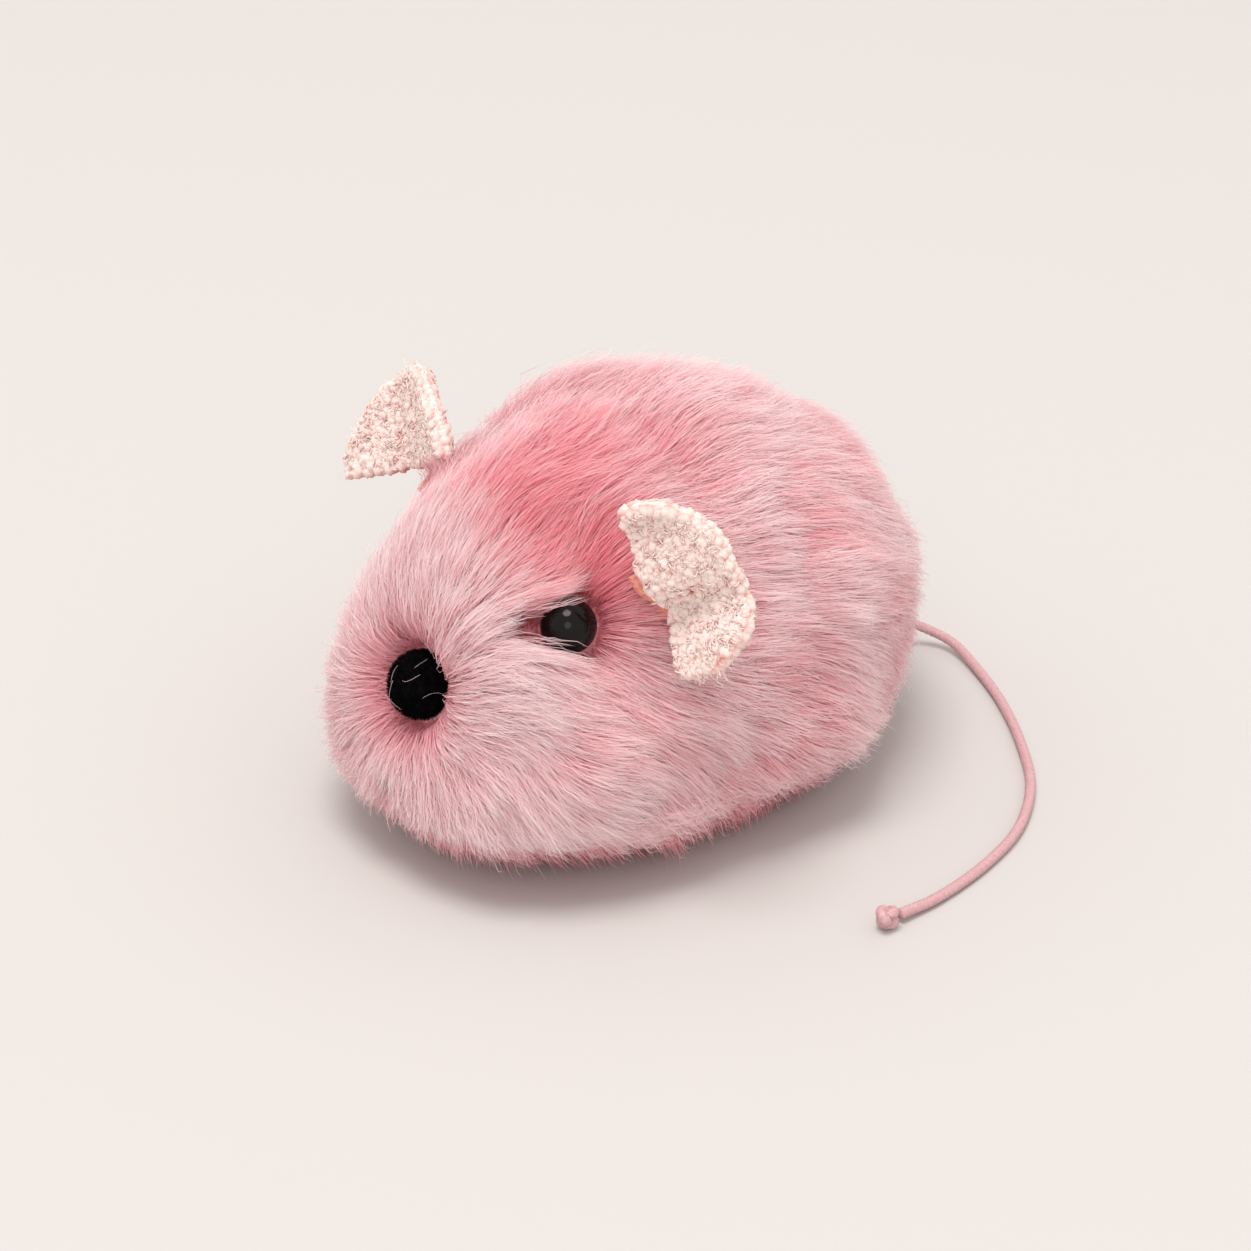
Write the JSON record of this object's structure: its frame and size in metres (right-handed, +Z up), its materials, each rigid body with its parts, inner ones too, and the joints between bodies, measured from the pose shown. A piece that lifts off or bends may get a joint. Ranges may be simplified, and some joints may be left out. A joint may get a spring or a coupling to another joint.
{
  "type": "clockwork mouse",
  "caption": "Small wind-up toy mouse: long-pile fur over a plastic shell, cloth ears, bead eyes, cord tail, and a spring-driven gear train that turns two drive wheels.",
  "frame": {"origin": "on the table, below the middle of the fur body (its box without the free tail)", "axes": "+Z up; the nose points to -Y and the tail leaves at +Y; +X is the mouse's own left; the winding knob is on its right, -X"},
  "size_m": [0.0949, 0.1085, 0.0605],
  "materials": {
    "fur": "long silky pile, pale at the tips and deeper pink at the roots",
    "ear_cloth": "looped cloth, cream pink",
    "eye_bead": "polished black",
    "nose_flock": "short black flock",
    "tail_cord": "waxed braided cotton, dusty pink",
    "body_plastic": "moulded, hidden under the fur",
    "base_plastic": "moulded, fine texture",
    "knob_plastic": "moulded, off-white",
    "washer_plastic": "natural nylon",
    "steel": "plated, satin",
    "spring_steel": "blued",
    "brass": "stamped",
    "hub_plastic": "moulded, charcoal",
    "tyre_rubber": "matt, moulded tread"
  },
  "bodies": {
    "body": {"fur_cover": "fur", "ear_left": "ear_cloth", "ear_right": "ear_cloth", "eye_left": "eye_bead", "eye_right": "eye_bead", "eye_washer_left": "washer_plastic", "eye_washer_right": "washer_plastic", "nose": "nose_flock", "nose_washer": "washer_plastic", "tail_cord": "tail_cord", "tail_knot": "tail_cord", "tail_anchor_knot": "tail_cord", "body_shell": "body_plastic", "base_plate": "base_plastic", "base_screw_1": "steel", "base_screw_2": "steel", "base_screw_3": "steel", "base_screw_4": "steel", "motor_plate_left": "steel", "motor_plate_right": "steel", "motor_pillar_1": "brass", "motor_pillar_2": "brass", "motor_pillar_3": "brass", "motor_pillar_4": "brass", "motor_screw_1": "steel", "motor_screw_2": "steel", "mainspring": "spring_steel", "front_axle": "steel"},
    "great_wheel": {"great_wheel": "brass", "click_spring": "spring_steel", "click_rivet": "steel"},
    "winding": {"winding_arbor": "steel", "winding_knob": "knob_plastic", "ratchet_wheel": "steel"},
    "centre": {"centre_arbor": "steel", "centre_pinion": "brass", "centre_wheel": "brass"},
    "drive": {"drive_axle": "steel", "drive_pinion": "brass", "wheel_hub_left": "hub_plastic", "wheel_hub_right": "hub_plastic", "tyre_left": "tyre_rubber", "tyre_right": "tyre_rubber"},
    "escape": {"escape_arbor": "steel", "escape_pinion": "brass", "escape_wheel": "brass"},
    "verge": {"verge": "steel", "verge_arbor": "steel"},
    "front_wheel": {"front_wheel": "hub_plastic"}
  },
  "joints": [
    {"name": "great_wheel_spin", "type": "hinge", "parent": "body", "child": "great_wheel", "pos_m": [0, 0, 0.027], "axis": [1, 0, 0], "continuous": true, "deforming": ["mainspring"]},
    {"name": "winding_turn", "type": "hinge", "parent": "great_wheel", "child": "winding", "pos_m": [0, 0, 0.027], "axis": [1, 0, 0], "range_deg": [-1440, 0], "deforming": ["mainspring", "click_spring"]},
    {"name": "centre_spin", "type": "hinge", "parent": "body", "child": "centre", "pos_m": [0, 0.01242, 0.02099], "axis": [1, 0, 0], "continuous": true},
    {"name": "drive_spin", "type": "hinge", "parent": "body", "child": "drive", "pos_m": [0, 0.012, 0.009], "axis": [1, 0, 0], "continuous": true},
    {"name": "escape_spin", "type": "hinge", "parent": "body", "child": "escape", "pos_m": [0, 0.01602, 0.03181], "axis": [1, 0, 0], "continuous": true},
    {"name": "verge_rock", "type": "hinge", "parent": "body", "child": "verge", "pos_m": [0, 0.02142, 0.03378], "axis": [1, 0, 0], "range_deg": [-5, 5]},
    {"name": "front_wheel_spin", "type": "hinge", "parent": "body", "child": "front_wheel", "pos_m": [0, -0.022, 0.0045], "axis": [1, 0, 0], "continuous": true}
  ],
  "couplings": [
    {"joint": "centre_spin", "follows": "great_wheel_spin", "ratio": -3.6},
    {"joint": "drive_spin", "follows": "great_wheel_spin", "ratio": 10.8},
    {"joint": "escape_spin", "follows": "great_wheel_spin", "ratio": 13.5}
  ]
}
